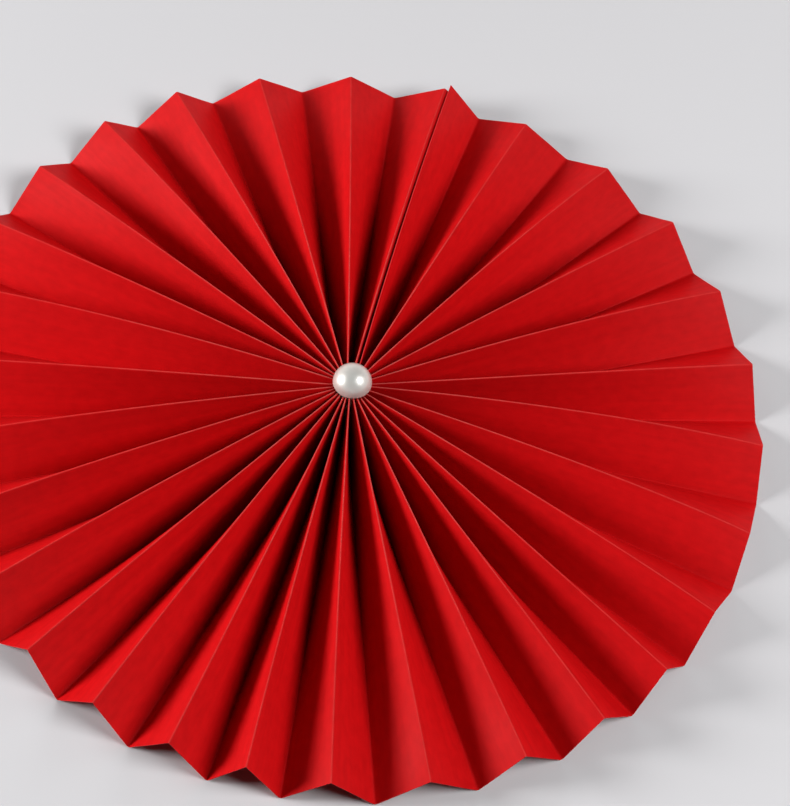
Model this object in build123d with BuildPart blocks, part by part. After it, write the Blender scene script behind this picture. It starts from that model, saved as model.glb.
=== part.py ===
from build123d import *

import os
from math import cos, hypot, pi, radians, sin

# A pleated paper fan rosette: one long strip of red card, folded to and fro,
# closed into a ring along a lapped seam and opened out flat. The inner ends of
# the folds stand packed round a small hole, and hot glue in that hole holds
# them. A half-round pearl bead is glued over the middle.
# Millimetres. The origin is at the middle of the back, +Z is up out of the
# front, and the rosette lies on its back folds in the plane Z = 0.

# Sizes of the pleated card
rim_radius = 151.0  # centre to the tips of the back folds
rim_depth = 13.9  # height of an average front fold over the back folds, at the rim
card_thickness = 0.25
stretch_count = 8  # stretches from hole to rim in which a twisted panel is flat facets

# Opening of each pleat at the rim, back fold to back fold, where 1.0 is the
# even share of the circle. It runs counter-clockwise from the seam's back fold.
rim_shares = (
    1.04, 1.11, 1.09, 0.97, 0.95, 1.01, 0.94, 0.98, 1.02, 1.05,
    0.96, 0.95, 0.88, 0.90, 0.87, 0.76, 0.96, 1.07, 0.95, 0.93,
    0.85, 1.09, 1.16, 1.08, 1.03, 1.08, 1.02, 1.12, 1.18,
)
# Spacing of the front folds where they crowd round the central hole, from the
# seam's front fold to the next one counter-clockwise, and so on.
ring_shares = (
    1.56, 0.88, 0.76, 0.80, 0.84, 0.63, 0.75, 1.73, 0.84, 0.68,
    0.81, 1.00, 0.93, 1.10, 0.81, 1.08, 1.23, 1.08, 0.89, 0.87,
    1.14, 1.19, 1.08, 0.62, 1.12, 0.83, 0.98, 0.84, 1.93,
)
# Where each back fold stands at the hole, from the front fold clockwise of it
# towards the next one, the seam's back fold first.
hollow_shares = (
    0.28, 0.72, 0.50, 0.48, 0.53, 0.54, 0.50, 0.45, 0.57, 0.59,
    0.52, 0.51, 0.50, 0.52, 0.51, 0.51, 0.54, 0.56, 0.58, 0.57,
    0.55, 0.52, 0.50, 0.50, 0.50, 0.50, 0.50, 0.50, 0.46,
)
rim_turn = 78.87  # degrees, azimuth of the seam's back fold at the rim
ring_turn = 88.3  # degrees, azimuth of the seam's front fold at the hole
seam_ridge_share = 0.447  # where the seam's front fold stands in its pleat at the rim
pleat_count = len(rim_shares)

# How loosely the folds pack round the hole: 1.0 is card against card
packing_share = 2.4
ring_radius = pleat_count * card_thickness * packing_share / pi

# Blunt folds: the half-width of a crease, and the card's upright depth in it
rim_crease = 0.72 * card_thickness
rim_web = 0.72 * card_thickness
ring_crease = card_thickness
ring_web = 1.2 * card_thickness

# The lapped seam. The strip's last panel lies over its first one, its cut edge
# beside the front fold, a little proud of the rim.
lip_setback_rim = 1.3
lip_setback_ring = 1.1
lip_drop = 0.5
lip_overhang = 2.8
lap_play = 0.3

# The film of glue in the lap: the stretches that it fills, and its foot and top
# as shares of the lapped panels' height
lap_glue_first_stretch = 1
lap_glue_last_stretch = stretch_count - 1
lap_glue_low_share = 0.02
lap_glue_high_share = 0.98
lap_glue_clearance = 0.12

# The bead, and the glue that holds it and fills the hole
bead_diameter = 14.0
bead_edge = 0.35
bead_offset_x = 0.6
bead_offset_y = 1.2
glue_layer = 0.4
glue_recess = 1.5
glue_clearance = 0.05


def running_angles(start, shares):
    """Angles after each share of a full turn, the start included."""
    angles = [start]
    for share in shares:
        angles.append(angles[-1] + 360 * share / sum(shares))
    return angles


# Fold lines. Back fold i lies clockwise of front fold i.
rim_valleys = running_angles(rim_turn, rim_shares)
ring_ridges = running_angles(ring_turn, ring_shares)


def ring_valley(i):
    """Angle of back fold i at the hole, between the front folds on its two sides."""
    last = pleat_count - 1
    before = ring_ridges[i - 1] if i > 0 else ring_ridges[last] - 360
    return before + hollow_shares[i % pleat_count] * (ring_ridges[i] - before)


# Panels are strips of one width; a front fold off its pleat's middle gives to one
# panel what it takes from the other. They stand on edge at the hole and lean out
# towards the rim, further the wider their pleat is opened.
mean_half_turn = radians(180 / pleat_count)
panel_width = hypot(rim_radius * sin(mean_half_turn), rim_depth)


def between(low, high, share):
    """The value or point at a share of the way from low to high."""
    return low + (high - low) * share


def plan_point(radius, angle):
    """A point of the plan at a radius and an angle in degrees."""
    return Vector(radius * cos(radians(angle)), radius * sin(radians(angle)))


def back_fold(i, share):
    """The plan point of back fold i at a share of the way from hole to rim."""
    return between(plan_point(ring_radius, ring_valley(i)), plan_point(rim_radius, rim_valleys[i]), share)


class Section:
    """A pleat's cross-section, upright on the plan line between its back folds."""

    def __init__(self, i, share):
        low = ring_valley(i)
        high = ring_valley(i + 1)
        self.share = share  # of the way from hole to rim
        self.start = back_fold(i, share)
        across = back_fold(i + 1, share) - self.start
        self.along = across.normalized()
        self.outward = self.along.cross(Vector(0, 0, 1))
        self.width = across.length
        rim_share = seam_ridge_share if i == 0 else 0.5
        self.ridge = self.width * between((ring_ridges[i] - low) / (high - low), rim_share, share)
        self.crease = between(ring_crease, rim_crease, share)
        self.web = between(ring_web, rim_web, share)
        off_middle = (self.ridge - self.width / 2) / panel_width
        self.height = (panel_width**2 - self.width**2 / 4) ** 0.5 * (1 - off_middle**2) ** 0.5
        self.lip_reach = self.ridge - self.crease - between(lip_setback_ring, lip_setback_rim, share)
        self.lip_height = self.height - lip_drop

    def point(self, along, up):
        """The point this far from the first back fold, and this high."""
        return self.start + self.along * along + Vector(0, 0, up)

    def lip_point(self, along, up):
        """The same in the lip, whose outer end swings out about its back fold."""
        swung = self.along * self.lip_reach + self.outward * lip_overhang * self.share
        return self.start + swung.normalized() * along + Vector(0, 0, up)


def pleat_outline(s):
    """Corners of a whole pleat: along its underside, then back over the top."""
    return [
        s.point(0, 0),
        s.point(s.crease, 0),
        s.point(s.ridge, s.height - s.web),
        s.point(s.width - s.crease, 0),
        s.point(s.width, 0),
        s.point(s.width, s.web),
        s.point(s.ridge + s.crease, s.height),
        s.point(s.ridge - s.crease, s.height),
        s.point(0, s.web),
    ]


def first_pleat_outline(s):
    """The strip's first pleat: its clockwise panel ends free under the lap."""
    foot = s.crease + lap_play
    slant = hypot(s.ridge - foot, s.height) / s.height
    whole = pleat_outline(s)
    return [s.point(foot, 0), s.point(foot + card_thickness * slant, 0), *whole[2:8]]


def lip_outline(s):
    """The strip's last panel: from the back fold up to its cut edge."""
    run = Vector(s.lip_reach - s.crease, s.lip_height).normalized() * card_thickness
    return [
        s.point(0, 0),
        s.lip_point(s.crease, 0),
        s.lip_point(s.lip_reach, s.lip_height),
        s.lip_point(s.lip_reach - run.Y, s.lip_height + run.X),
        s.point(0, s.web),
    ]


def lap_glue_outline(s):
    """The wedge between the lap's two panels, from the lip round to the first."""
    foot = s.crease + lap_play

    def beside_lip(share):
        along = between(s.crease, s.lip_reach, share) + lap_glue_clearance
        return s.lip_point(along, s.lip_height * share)

    def beside_first(share):
        along = between(foot, s.ridge - s.crease, share) - lap_glue_clearance
        return s.point(along, s.height * share)

    low, high = lap_glue_low_share, lap_glue_high_share
    return [beside_lip(low), beside_lip(high), beside_first(high), beside_first(low)]


# A twisted strip's skin is made of flat facets, stretch by stretch
def runs(i, outline, first=0, last=stretch_count):
    """Each corner of pleat i's outline, as its run of points from first to last stretch."""
    stations = range(first, last + 1)
    return list(zip(*[outline(Section(i, station / stretch_count)) for station in stations]))


def skin(upper, lower):
    """Facets between two runs of points, the upper and the lower edge of a strip."""
    facets = []
    for here, there in zip(range(len(upper)), range(1, len(upper))):
        facets.append(Face(Polyline(upper[here], lower[here], lower[there], close=True)))
        facets.append(Face(Polyline(upper[here], lower[there], upper[there], close=True)))
    return facets


def skins(corners, strips):
    """The two ends of a folded strip, and its skin between the named pairs of runs."""
    faces = [Face(Polyline(*[run[end] for run in corners], close=True)) for end in (0, -1)]
    for upper, lower in strips:
        faces += skin(corners[upper], corners[lower])
    return faces


def crease_flat(before, fold, after):
    """The flat that a back fold rests on, between its two panels' undersides."""
    return Face(Polyline(fold[0], *after, fold[-1], *reversed(before), close=True))


# Pleated paper
pleats = [runs(0, first_pleat_outline)]
pleats += [runs(i, pleat_outline) for i in range(1, pleat_count)]
lip = runs(0, lip_outline)

sheet = skins(pleats[0], ((2, 1), (2, 3), (6, 5), (6, 7), (7, 0), (1, 0)))
for pleat in pleats[1:]:
    sheet += skins(pleat, ((2, 1), (2, 3), (6, 5), (6, 7), (7, 8)))
sheet += skins(lip, ((2, 1), (2, 3), (3, 4)))
for before, after in zip(pleats, pleats[1:] + [lip]):
    sheet.append(crease_flat(before[3], before[4], after[1]))

with BuildPart() as pleated_paper:
    add(Solid(Shell(sheet)))

# Glue in the lapped seam
glue_film = runs(0, lap_glue_outline, lap_glue_first_stretch, lap_glue_last_stretch)
film = []
for upper, lower in ((1, 0), (1, 2), (2, 3), (3, 0)):
    film += skin(glue_film[upper], glue_film[lower])
for end in (0, -1):
    lip_low, lip_high, first_high, first_low = [run[end] for run in glue_film]
    film += skin((lip_high, first_high), (lip_low, first_low))
with BuildPart() as seam_glue:
    add(Solid(Shell(film)))

# Glue in the hole and under the bead
bead_radius = bead_diameter / 2
bead_centre = Vector(bead_offset_x, bead_offset_y)
ring_sections = [Section(i, 0) for i in range(pleat_count)]
hole_reach = min(section.start.dot(section.outward) for section in ring_sections)
with BuildPart() as centre_glue:
    with BuildSketch(Plane.XY.offset(glue_recess)):
        Circle(hole_reach - glue_clearance)
    extrude(amount=panel_width - glue_recess)
    with BuildSketch(Plane(origin=bead_centre).offset(panel_width)):
        Circle((bead_radius + ring_radius) / 2)
    extrude(amount=glue_layer)

# Half-round pearl bead, flat side down on the glue
bead_seat = bead_centre + Vector(0, 0, panel_width + glue_layer)
with BuildPart() as half_pearl:
    with BuildSketch(Plane(origin=bead_seat, x_dir=(1, 0, 0), z_dir=(0, -1, 0))):
        with BuildLine():
            Line((0, bead_radius), (0, 0))
            Line((0, 0), (bead_radius, 0))
            CenterArc((0, 0), bead_radius, 0, 90)
        make_face()
        fillet(vertices().sort_by(Axis.X)[-1], bead_edge)
    revolve(axis=Axis(bead_seat, (0, 0, 1)))

pleated_paper.part.label = "pleated_paper"
seam_glue.part.label = "seam_glue"
centre_glue.part.label = "centre_glue"
half_pearl.part.label = "half_pearl"

os.makedirs("parts", exist_ok=True)
export_step(pleated_paper.part, "parts/pleated_paper.step")
export_step(seam_glue.part, "parts/seam_glue.step")
export_step(centre_glue.part, "parts/centre_glue.step")
export_step(half_pearl.part, "parts/half_pearl.step")
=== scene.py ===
# %% [markdown]
# A pleated fan rosette, about 30 cm across. It is one long strip of red card,
# folded to and fro, closed into a ring and opened out flat, with a half-round
# pearl bead over the middle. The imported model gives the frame: where each piece
# is and how large. This script gives the looks, so it reads its sizes from that
# frame and checks against it.

# %% Load the frame
import bpy
import random
from math import cos, hypot, pi, radians, sin
from mathutils import Matrix, Vector, noise


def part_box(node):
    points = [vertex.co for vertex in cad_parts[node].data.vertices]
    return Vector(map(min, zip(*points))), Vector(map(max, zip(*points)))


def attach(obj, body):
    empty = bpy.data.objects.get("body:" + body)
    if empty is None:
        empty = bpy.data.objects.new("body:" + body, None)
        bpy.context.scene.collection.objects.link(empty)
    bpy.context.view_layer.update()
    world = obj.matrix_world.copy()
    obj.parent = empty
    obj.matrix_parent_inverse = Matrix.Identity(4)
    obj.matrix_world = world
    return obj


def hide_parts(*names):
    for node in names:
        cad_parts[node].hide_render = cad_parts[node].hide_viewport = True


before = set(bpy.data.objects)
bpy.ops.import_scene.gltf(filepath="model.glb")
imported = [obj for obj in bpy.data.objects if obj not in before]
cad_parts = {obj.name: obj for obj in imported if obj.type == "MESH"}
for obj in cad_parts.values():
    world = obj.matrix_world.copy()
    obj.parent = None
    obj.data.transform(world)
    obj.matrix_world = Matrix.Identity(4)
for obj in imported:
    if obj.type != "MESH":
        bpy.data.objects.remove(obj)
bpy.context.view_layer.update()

# %% [markdown]
# The camera comes next, so that every later step can be looked at from the
# photographer's place. It looks down at the rosette from about 57 degrees, tilted
# a little about its own line of sight, and it is far enough away that the
# pleats near the lens are hardly larger than those behind.

# %% Camera
mm = 0.001
picture_height = 806  # pixels
focal_pixels = 2605
sensor_height = 36  # Blender gives the lens and its sensor in millimetres
camera_elevation = radians(56.6)
camera_roll = radians(10.26)
camera_target = Vector((16.75, 10.2, 0)) * mm
camera_distance = 944 * mm

back = Vector((0, -cos(camera_elevation), sin(camera_elevation)))
right = Vector((1, 0, 0))
up = back.cross(right)
rolled_right = right * cos(camera_roll) + up * sin(camera_roll)
rolled_up = up * cos(camera_roll) - right * sin(camera_roll)

camera = bpy.data.objects.new("camera", bpy.data.cameras.new("camera"))
bpy.context.collection.objects.link(camera)
camera.data.sensor_fit = "VERTICAL"
camera.data.sensor_height = sensor_height
camera.data.lens = focal_pixels * sensor_height / picture_height
camera.matrix_world = Matrix.Translation(camera_target + back * camera_distance) @ Matrix(
    (rolled_right, rolled_up, back)).transposed().to_4x4()
bpy.context.scene.camera = camera
print("lens", round(camera.data.lens, 1), "mm")

# %% [markdown]
# The strip is the whole shape of this object, so its folds are worked out, not
# pulled about by hand. Real pleats are never even: each opens by its own amount
# at the rim, and the folds crowd unevenly round the hole in the middle. Three
# tables of shares say so: the back folds at the rim, the front folds at the hole,
# and where each back fold stands between them there. Everything else follows from
# the radius, the depth and the card's thickness.

# %% Sizes of the pleated card
rim_radius = 151.0 * mm
rim_depth = 13.9 * mm
card_thickness = 0.25 * mm
rim_shares = (
    1.04, 1.11, 1.09, 0.97, 0.95, 1.01, 0.94, 0.98, 1.02, 1.05,
    0.96, 0.95, 0.88, 0.90, 0.87, 0.76, 0.96, 1.07, 0.95, 0.93,
    0.85, 1.09, 1.16, 1.08, 1.03, 1.08, 1.02, 1.12, 1.18,
)
ring_shares = (
    1.56, 0.88, 0.76, 0.80, 0.84, 0.63, 0.75, 1.73, 0.84, 0.68,
    0.81, 1.00, 0.93, 1.10, 0.81, 1.08, 1.23, 1.08, 0.89, 0.87,
    1.14, 1.19, 1.08, 0.62, 1.12, 0.83, 0.98, 0.84, 1.93,
)
hollow_shares = (
    0.28, 0.72, 0.50, 0.48, 0.53, 0.54, 0.50, 0.45, 0.57, 0.59,
    0.52, 0.51, 0.50, 0.52, 0.51, 0.51, 0.54, 0.56, 0.58, 0.57,
    0.55, 0.52, 0.50, 0.50, 0.50, 0.50, 0.50, 0.50, 0.46,
)
rim_turn = 78.87  # degrees, azimuth of the seam's back fold at the rim
ring_turn = 88.3  # degrees, azimuth of the seam's front fold at the hole
seam_ridge_share = 0.447  # where the seam's front fold stands in its pleat at the rim
packing_share = 2.4  # room that the card takes round the hole, in its own thicknesses
pleat_count = len(rim_shares)
panel_count = 2 * pleat_count + 1
ring_radius = pleat_count * card_thickness * packing_share / pi
panel_width = hypot(rim_radius * sin(pi / pleat_count), rim_depth)
panel_length = rim_radius - ring_radius
print(pleat_count, "pleats, each panel", round(panel_width / mm, 1), "mm wide")

# %% [markdown]
# A fold line runs from the hole to the rim, and its azimuth is the running total
# of the shares before it. Back folds lie on the table. Front folds stand above
# them, as high as panels of constant width can reach from the two back folds. So
# the front folds arch a little, as they do in card.

# %% Fold lines
def running_angles(start, shares):
    """Angles after each share of a full turn, the start included."""
    angles = [start]
    for share in shares:
        angles.append(angles[-1] + 360 * share / sum(shares))
    return angles


def between(low, high, share):
    """The value or point at a share of the way from low to high."""
    return low + (high - low) * share


def plan_point(radius, angle):
    """A point of the plan at a radius and an angle in degrees."""
    return Vector((radius * cos(radians(angle)), radius * sin(radians(angle)), 0))


rim_valleys = running_angles(rim_turn, rim_shares)
ring_ridges = running_angles(ring_turn, ring_shares)


def ring_valley(i):
    """Angle of back fold i at the hole."""
    before = ring_ridges[i - 1] if i > 0 else ring_ridges[pleat_count - 1] - 360
    return between(before, ring_ridges[i], hollow_shares[i % pleat_count])


ring_valleys = [ring_valley(i) for i in range(pleat_count + 1)]


def back_fold(i, share):
    """The plan point of back fold i at a share of the way from hole to rim."""
    at_hole = plan_point(ring_radius, ring_valleys[i])
    at_rim = plan_point(rim_radius, rim_valleys[i])
    return between(at_hole, at_rim, share)


print("front folds at the hole:", [round(angle) for angle in ring_ridges[:5]], "and so on")

# %% [markdown]
# At any distance from the hole, the strip's section is a zigzag. This class finds
# one tooth of it: its foot, its top and the direction between its back folds.
# The seam is the one odd place. There the strip's last panel lies over its first
# one, its cut edge just short of the front fold, and its outer corner stands a
# little proud of the rim.

# %% Section of a pleat
lip_setback_rim = 1.3 * mm
lip_setback_ring = 1.1 * mm
lip_drop = 0.5 * mm
lip_overhang = 2.8 * mm
lap_play = 0.3 * mm
rim_crease_share = 0.72  # how far the seam's crease has narrowed at the rim
crease_half_width = 0.13 * mm  # a blunt fold's half-width, on the card's middle layer


class Section:
    """A pleat's cross-section at a share of the way from hole to rim."""

    def __init__(self, i, share):
        self.share = share
        self.start = back_fold(i, share)
        across = back_fold(i + 1, share) - self.start
        self.width = across.length
        self.along = across.normalized()
        self.outward = self.along.cross(Vector((0, 0, 1)))
        ring_share = (ring_ridges[i] - ring_valleys[i]) / (ring_valleys[i + 1] - ring_valleys[i])
        rim_share = seam_ridge_share if i == 0 else 0.5
        self.ridge = self.width * between(ring_share, rim_share, share)
        off_middle = (self.ridge - self.width / 2) / panel_width
        self.height = (panel_width**2 - self.width**2 / 4) ** 0.5 * (1 - off_middle**2) ** 0.5
        self.crease = card_thickness * between(1, rim_crease_share, share)
        lip_setback = between(lip_setback_ring, lip_setback_rim, share)
        self.lip_reach = self.ridge - self.crease - lip_setback
        self.lip_height = self.height - lip_drop

    def point(self, along, high):
        """The point this far from the first back fold, and this high."""
        return self.start + self.along * along + Vector((0, 0, high))

    def lip_point(self, along, high):
        """The same in the lip, which swings out about its back fold."""
        swung = self.along * self.lip_reach + self.outward * lip_overhang * self.share
        return self.start + swung.normalized() * along + Vector((0, 0, high))


middle = Section(7, 0.5)
print("a pleat halfway out is", round(middle.width / mm, 1), "mm wide,",
      round(middle.height / mm, 1), "mm high")

# %% [markdown]
# One station is the whole zigzag at one distance from the hole. Each fold is two
# corner points a hair apart, because card can't fold to nothing. The walk starts
# at the free end under the lap, goes round all the pleats and ends at the lip.

# %% Corners of the zigzag
def zigzag(share):
    """The folded strip's corner points at one station, from its free end to the lip."""
    half = card_thickness / 2
    corners = []
    sections = [Section(i, share) for i in range(pleat_count)]
    for i, s in enumerate(sections):
        if i == 0:
            corners.append(s.point(s.crease + lap_play + half, half))
        else:
            corners.append(s.point(crease_half_width, half))
        corners.append(s.point(s.ridge - crease_half_width, s.height - half))
        corners.append(s.point(s.ridge + crease_half_width, s.height - half))
        corners.append(s.point(s.width - crease_half_width, half))
    s = sections[0]
    run = Vector((s.lip_reach - s.crease, s.lip_height, 0)).normalized() * half
    corners.append(s.lip_point(crease_half_width, half))
    corners.append(s.lip_point(s.lip_reach - run.y, s.lip_height + run.x))
    return corners


print(len(zigzag(1)), "corner points in a station, two for each of", panel_count, "panels")

# %% [markdown]
# Corners alone would fold like sheet metal. Near a fold the card bends round, so
# the line leaves each panel a little before the corner and runs through a cubic
# curve to the next panel. The bends are tight at the hole, where the pleats are
# squeezed. Towards the rim the front folds stay crisp, while the back folds have
# opened into soft hollows. Each panel also bows very slightly, its own way, as
# card does once it has been opened and shut a few times. The two glued panels of
# the seam stay flat.

# %% Rounded folds and bowed panels
bend_reach_ring = 0.2 * mm
ridge_reach_rim = 0.3 * mm
valley_reach_rim = 1.5 * mm
bow_limit = 0.45 * mm
ripple_limit = 0.16 * mm
ripple_steps = (7.3, 5, 1.5)  # noise units from panel to panel, hole to rim and fold to fold
panel_stops_share = (0, 0.03, 0.12, 0.3, 0.5, 0.7, 0.88, 0.97, 1)
bend_stops_share = (1 / 6, 2 / 6, 3 / 6, 4 / 6, 5 / 6)
glued_panels = (0, panel_count - 1)

bow_seeds = random.Random(29)
bows = [0 if k in glued_panels else bow_seeds.uniform(-1, 1) * bow_limit for k in range(panel_count)]


def cubic(a, b, c, d, share):
    """A point of the cubic curve from a to d with the handles b and c."""
    rest = 1 - share
    return a * rest**3 + b * 3 * rest**2 * share + c * 3 * rest * share**2 + d * share**3


def station(share):
    """Points of the folded strip at one station, one for each column of the mesh."""
    corners = zigzag(share)
    at_ridge = between(bend_reach_ring, ridge_reach_rim, share)
    at_valley = between(bend_reach_ring, valley_reach_rim, share**2)
    panels = []
    for k in range(panel_count):
        foot, head = corners[2 * k], corners[2 * k + 1]
        reaches = (at_valley, at_ridge) if k % 2 == 0 else (at_ridge, at_valley)
        run = (head - foot).normalized()
        first = foot + run * (0 if k == 0 else reaches[0])
        last = head - run * (0 if k == panel_count - 1 else reaches[1])
        side = run.cross(Vector((foot.x, foot.y, 0)).normalized())
        points = []
        for stop in panel_stops_share:
            ripple_place = [n * step for n, step in zip((k, share, stop), ripple_steps)]
            ripple = 0 if k in glued_panels else noise.noise(Vector(ripple_place))
            swell = bows[k] * sin(pi * share) + ripple * ripple_limit * share
            points.append(between(first, last, stop) + side * swell * sin(pi * stop))
        panels.append(points)
    line = list(panels[0])
    for k in range(1, panel_count):
        before, after = panels[k - 1][-1], panels[k][0]
        for stop in bend_stops_share:
            line.append(cubic(before, corners[2 * k - 1], corners[2 * k], after, stop))
        line += panels[k]
    return line


column_count = len(station(1))
print(column_count, "columns round the strip")

# %% [markdown]
# The strip could be built vertex by vertex, but a grid primitive has its faces
# and its map already, and it can be carried to the folded places in one go. Its
# columns follow the strip and its rows run from the rim in to the hole, so that
# its upper side becomes the rosette's front.

# %% Fold a grid into the rosette
row_count = 49
bpy.ops.object.select_all(action="DESELECT")
bpy.ops.mesh.primitive_grid_add(
    x_subdivisions=column_count - 1, y_subdivisions=row_count - 1, size=1)
paper = bpy.context.object
paper.name = "folded_card"
paper.data.name = "folded_card"

stations = [station(1 - row / (row_count - 1)) for row in range(row_count)]
places = []
for vertex in paper.data.vertices:
    column = round((vertex.co.x + 0.5) * (column_count - 1))
    row = round((vertex.co.y + 0.5) * (row_count - 1))
    places.append((column, row))
for vertex, (column, row) in zip(paper.data.vertices, places):
    vertex.co = stations[row][column]
paper.data.update()

node_low, node_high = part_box("pleated_paper")
reach_x = max(abs(vertex.co.x) for vertex in paper.data.vertices)
print(len(paper.data.polygons), "faces; widest", round(reach_x / mm, 2), "mm against",
      round(max(-node_low.x, node_high.x) / mm, 2), "mm in the frame")

# %% [markdown]
# Card has a grain, and this strip was ruled and creased before it was folded, so
# its pattern must follow the folds. The map is therefore laid out as the flat
# strip was: across the panels in one direction and from hole to rim in the other,
# in true metres. Two attributes mark the folds: the front ones, which get rubbed
# dye and a painted highlight, and the back ones, which get a painted shade.

# %% Map of the flat strip, and marks of the folds
mark_slope = 2.4  # how fast a fold's mark fades from the middle of its bend
strip_stops = []
ridge_marks = []
valley_marks = []


def add_column(stop, ridge, valley):
    """Note one column's place along the flat strip, and how far it is a fold."""
    strip_stops.append(stop)
    ridge_marks.append(ridge)
    valley_marks.append(valley)


for k in range(panel_count):
    rising = k % 2 == 0
    for share in panel_stops_share:
        add_column((k + share) * panel_width, 0, 0)
    if k < panel_count - 1:
        for share in bend_stops_share:
            mark = 1 - abs(share - 0.5) * mark_slope
            add_column((k + 1) * panel_width, mark if rising else 0, 0 if rising else mark)

ridge_line = paper.data.attributes.new("ridge_line", "FLOAT", "POINT")
valley_line = paper.data.attributes.new("valley_line", "FLOAT", "POINT")
ridge_line.data.foreach_set("value", [ridge_marks[column] for column, row in places])
valley_line.data.foreach_set("value", [valley_marks[column] for column, row in places])

strip_map = paper.data.uv_layers.active
for loop in paper.data.loops:
    column, row = places[loop.vertex_index]
    from_hole = panel_length * (1 - row / (row_count - 1))
    strip_map.data[loop.index].uv = (strip_stops[column], from_hole)
print("flat strip", round(strip_stops[-1], 2), "m long,", round(panel_length, 3), "m wide")

# %% [markdown]
# So far the strip is a surface with no thickness. Solidify gives it the card's,
# half to each side, and puts the back and the cut edge in slots of their own,
# because a cut edge shows paler fibres than the dyed face. Smooth shading under a
# small angle keeps the rounded folds smooth and the cut edge crisp.

# %% Give the card its thickness
card_smooth_angle = radians(50)

for name in ("card_front", "card_back", "card_edge"):
    paper.data.materials.append(bpy.data.materials.new(name))
thickness = paper.modifiers.new("thickness", "SOLIDIFY")
thickness.thickness = card_thickness
thickness.offset = 0
thickness.material_offset = 1
thickness.material_offset_rim = 2
bpy.ops.object.modifier_apply(modifier=thickness.name)
bpy.ops.object.shade_smooth_by_angle(angle=card_smooth_angle)
print("card:", len(paper.data.polygons), "faces")

# %% [markdown]
# A film of glue holds the lap of the seam. It can't be seen from the front, but it
# is a piece of the rosette, so it is there. A cube is cut into slices along its
# length, and each slice takes the wedge between the two panels at its station.

# %% Glue film in the seam
film_first_row = 6
film_last_row = 42
film_low_share = 0.02
film_high_share = 0.8
film_clearance = 0.12 * mm


def film_corner(share, beside_lip, high):
    """A corner of the film's section, beside the lip or the first panel."""
    s = Section(0, share)
    up_share = film_high_share if high else film_low_share
    if beside_lip:
        along = between(s.crease, s.lip_reach, up_share) + film_clearance
        return s.lip_point(along, s.lip_height * up_share)
    along = between(s.crease + lap_play, s.ridge - s.crease, up_share) - film_clearance
    return s.point(along, s.height * up_share)


bpy.ops.object.select_all(action="DESELECT")
bpy.ops.mesh.primitive_cube_add(size=1)
film = bpy.context.object
film.name = "seam_glue_film"
film.data.name = "seam_glue_film"
bpy.ops.object.mode_set(mode="EDIT")
bpy.ops.mesh.select_mode(type="EDGE")
bpy.ops.mesh.select_all(action="DESELECT")
bpy.ops.object.mode_set(mode="OBJECT")
for edge in film.data.edges:
    ends = [film.data.vertices[index].co for index in edge.vertices]
    edge.select = abs(ends[0].y - ends[1].y) > 0.5  # the four edges along the cube's y
bpy.ops.object.mode_set(mode="EDIT")
bpy.ops.mesh.subdivide(number_cuts=film_last_row - film_first_row - 1)
bpy.ops.object.mode_set(mode="OBJECT")
for vertex in film.data.vertices:
    row = between(film_last_row, film_first_row, vertex.co.y + 0.5)
    vertex.co = film_corner(row / (row_count - 1), vertex.co.x < 0, vertex.co.z > 0)
bpy.ops.object.mode_set(mode="EDIT")
bpy.ops.mesh.select_all(action="SELECT")
bpy.ops.mesh.normals_make_consistent(inside=False)
bpy.ops.object.mode_set(mode="OBJECT")
print("glue film:", len(film.data.polygons), "faces")

# %% [markdown]
# The bead is half a ball with a flat back, as these are moulded. A sphere is cut
# at its flat side and filled, and the sharp edge there gets a small bevel, because
# the pearl lacquer rounds it. Its size and place are the frame's.

# %% Half-round bead
bead_segments = 96
bead_rounding = 0.3 * mm
bead_rounding_steps = 4
flat_side_slack = 0.01 * mm
bead_smooth_angle = radians(40)

bead_low, bead_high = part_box("half_pearl")
bead_radius = bead_high.z - bead_low.z
bead_seat = between(bead_low, bead_high, 0.5)
bead_seat.z = bead_low.z
bpy.ops.object.select_all(action="DESELECT")
bpy.ops.mesh.primitive_uv_sphere_add(
    segments=bead_segments, ring_count=bead_segments // 2, radius=bead_radius, location=bead_seat)
bead = bpy.context.object
bead.name = "pearl_bead"
bead.data.name = "pearl_bead"
bpy.ops.object.transform_apply(location=True, rotation=True, scale=True)
bpy.ops.object.mode_set(mode="EDIT")
bpy.ops.mesh.select_all(action="SELECT")
bpy.ops.mesh.bisect(plane_co=bead_seat, plane_no=(0, 0, 1), use_fill=True, clear_inner=True)
bpy.ops.mesh.select_all(action="DESELECT")
bpy.ops.object.mode_set(mode="OBJECT")
for edge in bead.data.edges:
    ends = [bead.data.vertices[index].co for index in edge.vertices]
    edge.select = all(abs(end.z - bead_seat.z) < flat_side_slack for end in ends)
bpy.ops.object.mode_set(mode="EDIT")
bpy.ops.mesh.select_mode(type="EDGE")
bpy.ops.mesh.bevel(offset=bead_rounding, segments=bead_rounding_steps, affect="EDGES")
bpy.ops.object.mode_set(mode="OBJECT")
bpy.ops.object.shade_smooth_by_angle(angle=bead_smooth_angle)
print("bead:", len(bead.data.polygons), "faces, radius", round(bead_radius / mm, 2), "mm")

# %% [markdown]
# Now the finishes. All three sides of the card share the same two effects, so
# each is a node group. The first is the card's own grain: a few faint streaks that
# the folding machine's rollers left along the panels, a soft mottle where the pulp
# is denser, and fine tooth over it all. It reads the map of the flat strip, in
# metres.

# %% Card grain group
def new_group(name, inputs, outputs):
    """A shader node group with named inputs and outputs, and its two end nodes."""
    group = bpy.data.node_groups.new(name, "ShaderNodeTree")
    for label, kind, value in inputs:
        socket = group.interface.new_socket(label, in_out="INPUT", socket_type=kind)
        if value is not None:
            socket.default_value = value
    for label, kind in outputs:
        group.interface.new_socket(label, in_out="OUTPUT", socket_type=kind)
    return group, group.nodes.new("NodeGroupInput"), group.nodes.new("NodeGroupOutput")


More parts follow.
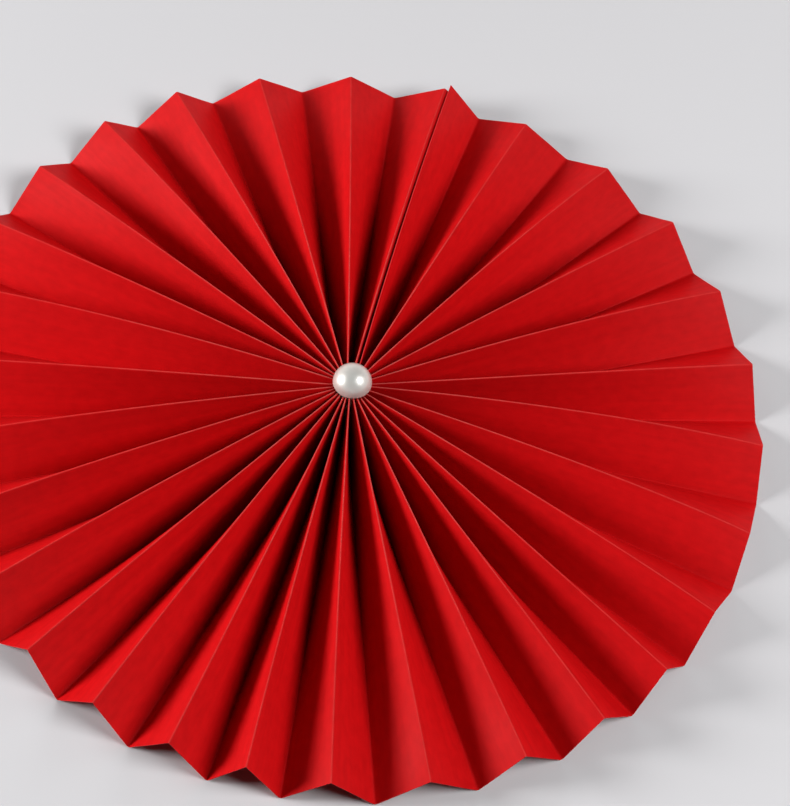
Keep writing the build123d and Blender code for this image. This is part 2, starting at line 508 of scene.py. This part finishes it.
def noise_node(tree, vector, scale, detail):
    """A noise texture over a vector, and the socket of its value."""
    node = tree.nodes.new("ShaderNodeTexNoise")
    node.inputs["Scale"].default_value = scale
    node.inputs["Detail"].default_value = detail
    tree.links.new(vector, node.inputs["Vector"])
    return node.outputs["Fac"]


def stretched(tree, vector, across, along):
    """A vector scaled by its own factor across and along the strip."""
    node = tree.nodes.new("ShaderNodeMapping")
    node.inputs["Scale"].default_value = (across, along, 1)
    tree.links.new(vector, node.inputs["Vector"])
    return node.outputs["Vector"]


grain, grain_in, grain_out = new_group(
    "card_grain",
    (("Strip", "NodeSocketVector", None),),
    (("Streaks", "NodeSocketFloat"), ("Mottle", "NodeSocketFloat"),
     ("Tooth", "NodeSocketFloat"), ("Cloud", "NodeSocketFloat")))
strip_vector = grain_in.outputs["Strip"]
for label, across, along, detail in (
    ("Streaks", 420, 16, 3),
    ("Mottle", 330, 210, 3),
    ("Tooth", 2600, 1700, 2),
    ("Cloud", 60, 28, 2),
):
    value = noise_node(grain, stretched(grain, strip_vector, across, along), 1, detail)
    grain.links.new(value, grain_out.inputs[label])
print("group", grain.name, "with", len(grain.nodes), "nodes")

# %% [markdown]
# The second effect is at the folds. Where a front fold has been pressed with a ruler
# and rubbed, the dye is thin and the card shows a paler line, broken here and there;
# the same line is also a painted highlight along the fold. Near the hole, where the
# folds are pressed hardest, it is strong and greyish; towards the rim it is faint
# and only a lighter red. A back fold is painted darker instead, a painted shade in
# the fold. The group puts out a mask for each of the two lines, and a ramp that is
# full at the hole and falls towards the rim.

# %% Crease wear and painted light group
def put(tree, value, socket):
    """Give an input socket its value, or link it where the value is a socket."""
    if isinstance(value, (tuple, int, float)):
        socket.default_value = value
    else:
        tree.links.new(value, socket)


def maths(tree, operation, *operands):
    """A Math node; each operand is a socket or a number."""
    node = tree.nodes.new("ShaderNodeMath")
    node.operation = operation
    for socket, value in zip(node.inputs, operands):
        put(tree, value, socket)
    return node.outputs[0]


def in_range(tree, value, low, high, reach=1):
    """A value of 0 to its reach, carried to the range from low to high."""
    node = tree.nodes.new("ShaderNodeMapRange")
    tree.links.new(value, node.inputs["Value"])
    for label, limit in (("From Max", reach), ("To Min", low), ("To Max", high)):
        node.inputs[label].default_value = limit
    return node.outputs["Result"]


crease_patches = (120, 260)  # for each metre across the panels, and from hole to rim
crease_swing = 1.2
least_crease_mark = 0.1
hole_ramp_reach = 0.10  # metres from the hole
least_hole_ramp = 0.35
crease_marks, crease_in, crease_out = new_group(
    "crease_wear_and_light",
    (("Strip", "NodeSocketVector", None), ("Ridge", "NodeSocketFloat", 0.0),
     ("Valley", "NodeSocketFloat", 0.0)),
    (("Rubbed_and_glint", "NodeSocketFloat"), ("Fold_shade", "NodeSocketFloat"),
     ("Hole_ramp", "NodeSocketFloat")))
broken = noise_node(crease_marks, stretched(crease_marks, crease_in.outputs["Strip"], *crease_patches), 1, 4)
patchy = maths(crease_marks, "MULTIPLY_ADD", broken, crease_swing, least_crease_mark)
place = crease_marks.nodes.new("ShaderNodeSeparateXYZ")
crease_marks.links.new(crease_in.outputs["Strip"], place.inputs["Vector"])
hole_ramp = in_range(crease_marks, place.outputs["Y"], 1, least_hole_ramp, hole_ramp_reach)
# The front folds' line: partly dye thinned by rubbing, partly a painted highlight.
rubbed_and_glint = maths(crease_marks, "MULTIPLY", crease_in.outputs["Ridge"], maths(crease_marks, "MULTIPLY", patchy, hole_ramp))
# The back folds' mark is a painted shade.
painted_fold_shade = maths(crease_marks, "MULTIPLY", crease_in.outputs["Valley"], patchy)
for label, value in (("Rubbed_and_glint", rubbed_and_glint), ("Fold_shade", painted_fold_shade), ("Hole_ramp", hole_ramp)):
    crease_marks.links.new(value, crease_out.inputs[label])
print("group", crease_marks.name, "with", len(crease_marks.nodes), "nodes")

# %% [markdown]
# The three materials of the card differ only in values. The dyed face is a deep
# warm red with hardly any gloss. The back is the same card, a touch duller. The
# cut edge is paler, because the blade opens the fibres. The dye is kept dull under
# strong lights, because bright red walls would light each other and fill the deep
# pleats that the photograph shows nearly black.

# %% Card colours and amounts
def mixed(tree, factor, first, second):
    """A colour between two, each a socket or a colour."""
    node = tree.nodes.new("ShaderNodeMix")
    node.data_type = "RGBA"
    put(tree, factor, node.inputs[0])
    put(tree, first, node.inputs[6])  # 6 and 7 are the two colours of a colour mix
    put(tree, second, node.inputs[7])
    return node.outputs[2]


mottle_part = 0.55
streak_part = 0.45
uneven_range = (-0.45, 1.95)
cloud_range = (-0.1, 0.35)
# Colours of the front folds' line, partly rubbed dye and partly a painted highlight, darker near the
# hole.
rubbed_and_glint_near_rim = (0.82, 0.125, 0.11, 1)  # only a lighter red
rubbed_and_glint_near_hole = (0.42, 0.14, 0.12, 1)  # down to the greyish pulp
# How far the back folds are darkened: a painted shade.
painted_fold_shade_amount = 0.8
gloss_spread = (-0.08, 0.1)
card_specular = 0.08
relief_part = 0.6
relief_strength = 0.25
relief_height = 0.05 * mm
print("rubbed folds:", rubbed_and_glint_near_hole[:3], "near the hole,", rubbed_and_glint_near_rim[:3], "near the rim")

# %% [markdown]
# One function fills all three. Mottle and streaks choose between the dye and its
# darker tone, and clouds darken it in broad patches. Over that come the front
# folds' paler line, partly rubbed dye and partly a painted highlight, and the
# painted shade of the back folds. The same unevenness, with the tooth, raises the
# surface a little.

# %% Card materials
def card_material(material, dye, dark_dye_and_shade, rubbed_and_glint_amount, roughness):
    """Fill one card material: dye, streaks, worn folds with painted highlight, painted shade in back
    folds, tooth, gloss.
    """
    material.use_nodes = True
    tree = material.node_tree
    shader = tree.nodes["Principled BSDF"]
    strip = tree.nodes.new("ShaderNodeUVMap")
    grain_node = tree.nodes.new("ShaderNodeGroup")
    grain_node.node_tree = grain
    tree.links.new(strip.outputs["UV"], grain_node.inputs["Strip"])
    crease_node = tree.nodes.new("ShaderNodeGroup")
    crease_node.node_tree = crease_marks
    tree.links.new(strip.outputs["UV"], crease_node.inputs["Strip"])
    for label, name in (("Ridge", "ridge_line"), ("Valley", "valley_line")):
        mark = tree.nodes.new("ShaderNodeAttribute")
        mark.attribute_name = name
        tree.links.new(mark.outputs["Fac"], crease_node.inputs[label])
    streaks = maths(tree, "MULTIPLY", grain_node.outputs["Streaks"], streak_part)
    uneven = maths(tree, "MULTIPLY_ADD", grain_node.outputs["Mottle"], mottle_part, streaks)
    streaked = mixed(tree, in_range(tree, uneven, *uneven_range), dark_dye_and_shade, dye)
    cloud = in_range(tree, grain_node.outputs["Cloud"], *cloud_range)
    clouded = mixed(tree, cloud, streaked, dark_dye_and_shade)
    # The front folds' line, partly rubbed dye and partly a painted highlight.
    rubbed_and_glint_dye = mixed(tree, crease_node.outputs["Hole_ramp"], rubbed_and_glint_near_rim, rubbed_and_glint_near_hole)
    rubbing_and_glint = in_range(tree, crease_node.outputs["Rubbed_and_glint"], 0, rubbed_and_glint_amount)
    worn_and_glinting = mixed(tree, rubbing_and_glint, clouded, rubbed_and_glint_dye)
    # The back folds are darkened towards the dark dye: a painted shade.
    fold_shading = in_range(tree, crease_node.outputs["Fold_shade"], 0, painted_fold_shade_amount)
    tree.links.new(mixed(tree, fold_shading, worn_and_glinting, dark_dye_and_shade), shader.inputs["Base Color"])
    gloss_range = [roughness + spread for spread in gloss_spread]
    gloss = in_range(tree, grain_node.outputs["Cloud"], *gloss_range)
    tree.links.new(gloss, shader.inputs["Roughness"])
    shader.inputs["Specular IOR Level"].default_value = card_specular
    relief = maths(tree, "MULTIPLY_ADD", uneven, relief_part, grain_node.outputs["Tooth"])
    bump = tree.nodes.new("ShaderNodeBump")
    bump.inputs["Strength"].default_value = relief_strength
    bump.inputs["Distance"].default_value = relief_height
    tree.links.new(relief, bump.inputs["Height"])
    tree.links.new(bump.outputs["Normal"], shader.inputs["Normal"])


for side, dye, dark_dye_and_shade, rubbed_and_glint_amount, roughness in (
    ("card_front", (0.55, 0.003, 0.0045, 1), (0.41, 0.0015, 0.0025, 1), 0.8, 0.6),
    ("card_back", (0.53, 0.005, 0.008, 1), (0.40, 0.003, 0.004, 1), 0.4, 0.65),
    ("card_edge", (0.62, 0.042, 0.042, 1), (0.55, 0.025, 0.03, 1), 0.5, 0.75),
):
    card_material(bpy.data.materials[side], dye, dark_dye_and_shade, rubbed_and_glint_amount, roughness)
print("card materials:", [slot.name for slot in paper.material_slots])

# %% [markdown]
# Hot glue sets to a partly clear, milky yellow plug with lumps where it was wiped.
# It fills the hole under the bead and the lap of the seam, so both get it. The
# plug is the frame's own piece: its mesh stays, and only its material is set.

# %% Glue material
glue_yellow = (0.66, 0.60, 0.48, 1)
glue_milky = (0.84, 0.80, 0.70, 1)
glue_clouds = 320  # for each metre
glue_lumps = 450
glue_lump_height = 0.3 * mm

glue = bpy.data.materials.new("set_hot_glue")
glue.use_nodes = True
glue_tree = glue.node_tree
glue_shader = glue_tree.nodes["Principled BSDF"]
glue_place = glue_tree.nodes.new("ShaderNodeTexCoord").outputs["Object"]
glue_cloud = noise_node(glue_tree, glue_place, glue_clouds, 3)
glue_tint = mixed(glue_tree, glue_cloud, glue_yellow, glue_milky)
glue_tree.links.new(glue_tint, glue_shader.inputs["Base Color"])
glue_gloss = in_range(glue_tree, glue_cloud, 0.22, 0.42)
glue_tree.links.new(glue_gloss, glue_shader.inputs["Roughness"])
glue_shader.inputs["Transmission Weight"].default_value = 0.7
glue_bump = glue_tree.nodes.new("ShaderNodeBump")
glue_bump.inputs["Strength"].default_value = 0.5
glue_bump.inputs["Distance"].default_value = glue_lump_height
glue_tree.links.new(noise_node(glue_tree, glue_place, glue_lumps, 2), glue_bump.inputs["Height"])
glue_tree.links.new(glue_bump.outputs["Normal"], glue_shader.inputs["Normal"])

film.data.materials.append(glue)
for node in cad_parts:
    if node.startswith("centre_glue"):
        plug = bpy.data.objects[node]
        for slot in plug.material_slots:
            slot.material = glue
print("glue on the film and", plug.name)

# %% [markdown]
# A craft pearl is white plastic under a pearl lacquer. Layer Weight makes it look a
# little different face on and edge on: greyer towards the eye, and paler and warmer
# towards the rim, which is a painted reflection of the red card round the bead. A
# clear coat makes its sharp highlights, and faint swirls show where the lacquer ran.

# %% Pearl material
lacquer_face_on = (0.55, 0.55, 0.52, 1)
# Edge on, the lacquer's colour carries a painted reflection of the red card.
lacquer_edge_and_reflection = (0.92, 0.78, 0.71, 1)
lacquer_swirl = (0.76, 0.68, 0.59, 1)
lacquer_swirls = 260  # for each metre
lacquer_blend = 0.45
coat_roughness = 0.1

pearl = bpy.data.materials.new("pearl_lacquer")
pearl.use_nodes = True
pearl_tree = pearl.node_tree
pearl_shader = pearl_tree.nodes["Principled BSDF"]
pearl_place = pearl_tree.nodes.new("ShaderNodeTexCoord").outputs["Object"]
swirls = noise_node(pearl_tree, pearl_place, lacquer_swirls, 4)
facing = pearl_tree.nodes.new("ShaderNodeLayerWeight")
facing.inputs["Blend"].default_value = lacquer_blend
# The paler, warmer rim is a painted reflection of the red card.
lacquer_and_reflection = mixed(pearl_tree, facing.outputs["Facing"], lacquer_face_on, lacquer_edge_and_reflection)
warmed = mixed(pearl_tree, in_range(pearl_tree, swirls, -0.2, 0.3), lacquer_and_reflection, lacquer_swirl)
pearl_tree.links.new(warmed, pearl_shader.inputs["Base Color"])
pearl_tree.links.new(in_range(pearl_tree, swirls, 0.33, 0.45), pearl_shader.inputs["Roughness"])
pearl_tree.links.new(in_range(pearl_tree, swirls, 0.35, 0.55), pearl_shader.inputs["Metallic"])
pearl_shader.inputs["Coat Weight"].default_value = 1
pearl_shader.inputs["Coat Roughness"].default_value = coat_roughness
bead.data.materials.append(pearl)
print("pearl lacquer with", len(pearl_tree.nodes), "nodes")

# %% [markdown]
# The new pieces now take their places in the frame. Each rides on the one body
# that this object has, and takes the place of the solid that it replaces, which is
# hidden.

# %% Tie the pieces to the frame
for piece, node, slot in (
    (paper, "pleated_paper", "red_card"),
    (film, "seam_glue", "clear_glue"),
    (bead, "half_pearl", "pearl"),
):
    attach(piece, "root")
    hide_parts(node)
print("pieces tied:", paper.name, film.name, bead.name)

# %% [markdown]
# The rosette lies on a pale table, which is only a stage: a plain plane just
# under the back folds, light enough to read as the photograph's background and
# still to hold the rosette's soft shadow.

# %% Table
table_width = 8
table_gap = 0.05 * mm
table_grey = (0.58, 0.573, 0.588, 1)
table_roughness = 0.9

bpy.ops.object.select_all(action="DESELECT")
bpy.ops.mesh.primitive_plane_add(size=table_width, location=(0, 0, -table_gap))
table = bpy.context.object
table.name = "table"
table_paint = bpy.data.materials.new("pale_table")
table_paint.use_nodes = True
table_shader = table_paint.node_tree.nodes["Principled BSDF"]
table_shader.inputs["Base Color"].default_value = table_grey
table_shader.inputs["Roughness"].default_value = table_roughness
table.data.materials.append(table_paint)
print("table at", round(table.location.z / mm, 2), "mm")

# %% [markdown]
# Two soft lights explain the photograph, because the bead shows two highlights
# side by side: one light stands low on the left, the other higher on the right.
# Each is a round softbox aimed at the rosette. Two white reflector boards, far
# dimmer, open the shadows from behind on both sides, and are hidden from the
# bead's gloss.

# %% Lights
light_distance = 1.3


def softbox(name, azimuth, elevation, size, power, in_gloss):
    """A round area light aimed at the origin, which glossy surfaces show or not."""
    light = bpy.data.objects.new(name, bpy.data.lights.new(name, "AREA"))
    bpy.context.collection.objects.link(light)
    light.data.shape = "DISK"
    light.data.size = size
    light.data.energy = power
    light.visible_glossy = in_gloss
    aim = Vector((cos(radians(elevation)) * cos(radians(azimuth)),
                  cos(radians(elevation)) * sin(radians(azimuth)), sin(radians(elevation))))
    turn = aim.to_track_quat("Z", "Y").to_matrix().to_4x4()
    light.matrix_world = Matrix.Translation(aim * light_distance) @ turn


softbox("left_softbox", -170, 20, 0.5, 21.5, True)
softbox("right_softbox", -13, 47, 0.75, 15.4, True)
softbox("back_left_board", 135, 20, 1.0, 4.0, False)
softbox("back_right_board", 55, 20, 1.0, 4.5, False)

# %% [markdown]
# The sky is nearly dark, so that the deep pleats are too. Glossy rays see a pale
# room instead, brightest round the horizon, which the pearl lacquer mirrors, and
# the camera sees a pale wall past the table. Light Path tells these rays apart.

# %% Sky
horizon_glow = 0.75
overhead_glow = 0.2
overhead_height = 0.8  # of the sky's own height, 1
wall_glow = 0.68
dark_glow = 0.01

world = bpy.data.worlds.new("soft_sky")
bpy.context.scene.world = world
world.use_nodes = True
sky = world.node_tree
sky_height = sky.nodes.new("ShaderNodeSeparateXYZ")
sky.links.new(sky.nodes.new("ShaderNodeTexCoord").outputs["Generated"], sky_height.inputs["Vector"])
pale_room = in_range(
    sky, sky_height.outputs["Z"], horizon_glow, overhead_glow, overhead_height)
ray = sky.nodes.new("ShaderNodeLightPath")
pale_wall = maths(sky, "MULTIPLY_ADD", ray.outputs["Is Camera Ray"], wall_glow, dark_glow)
sky_strength = maths(sky, "MULTIPLY_ADD", pale_room, ray.outputs["Is Glossy Ray"], pale_wall)
sky.nodes["Background"].inputs["Color"].default_value = (1, 1, 1, 1)
sky.links.new(sky_strength, sky.nodes["Background"].inputs["Strength"])
bpy.context.scene.view_settings.view_transform = "Standard"
print("sky with", len(sky.nodes), "nodes")
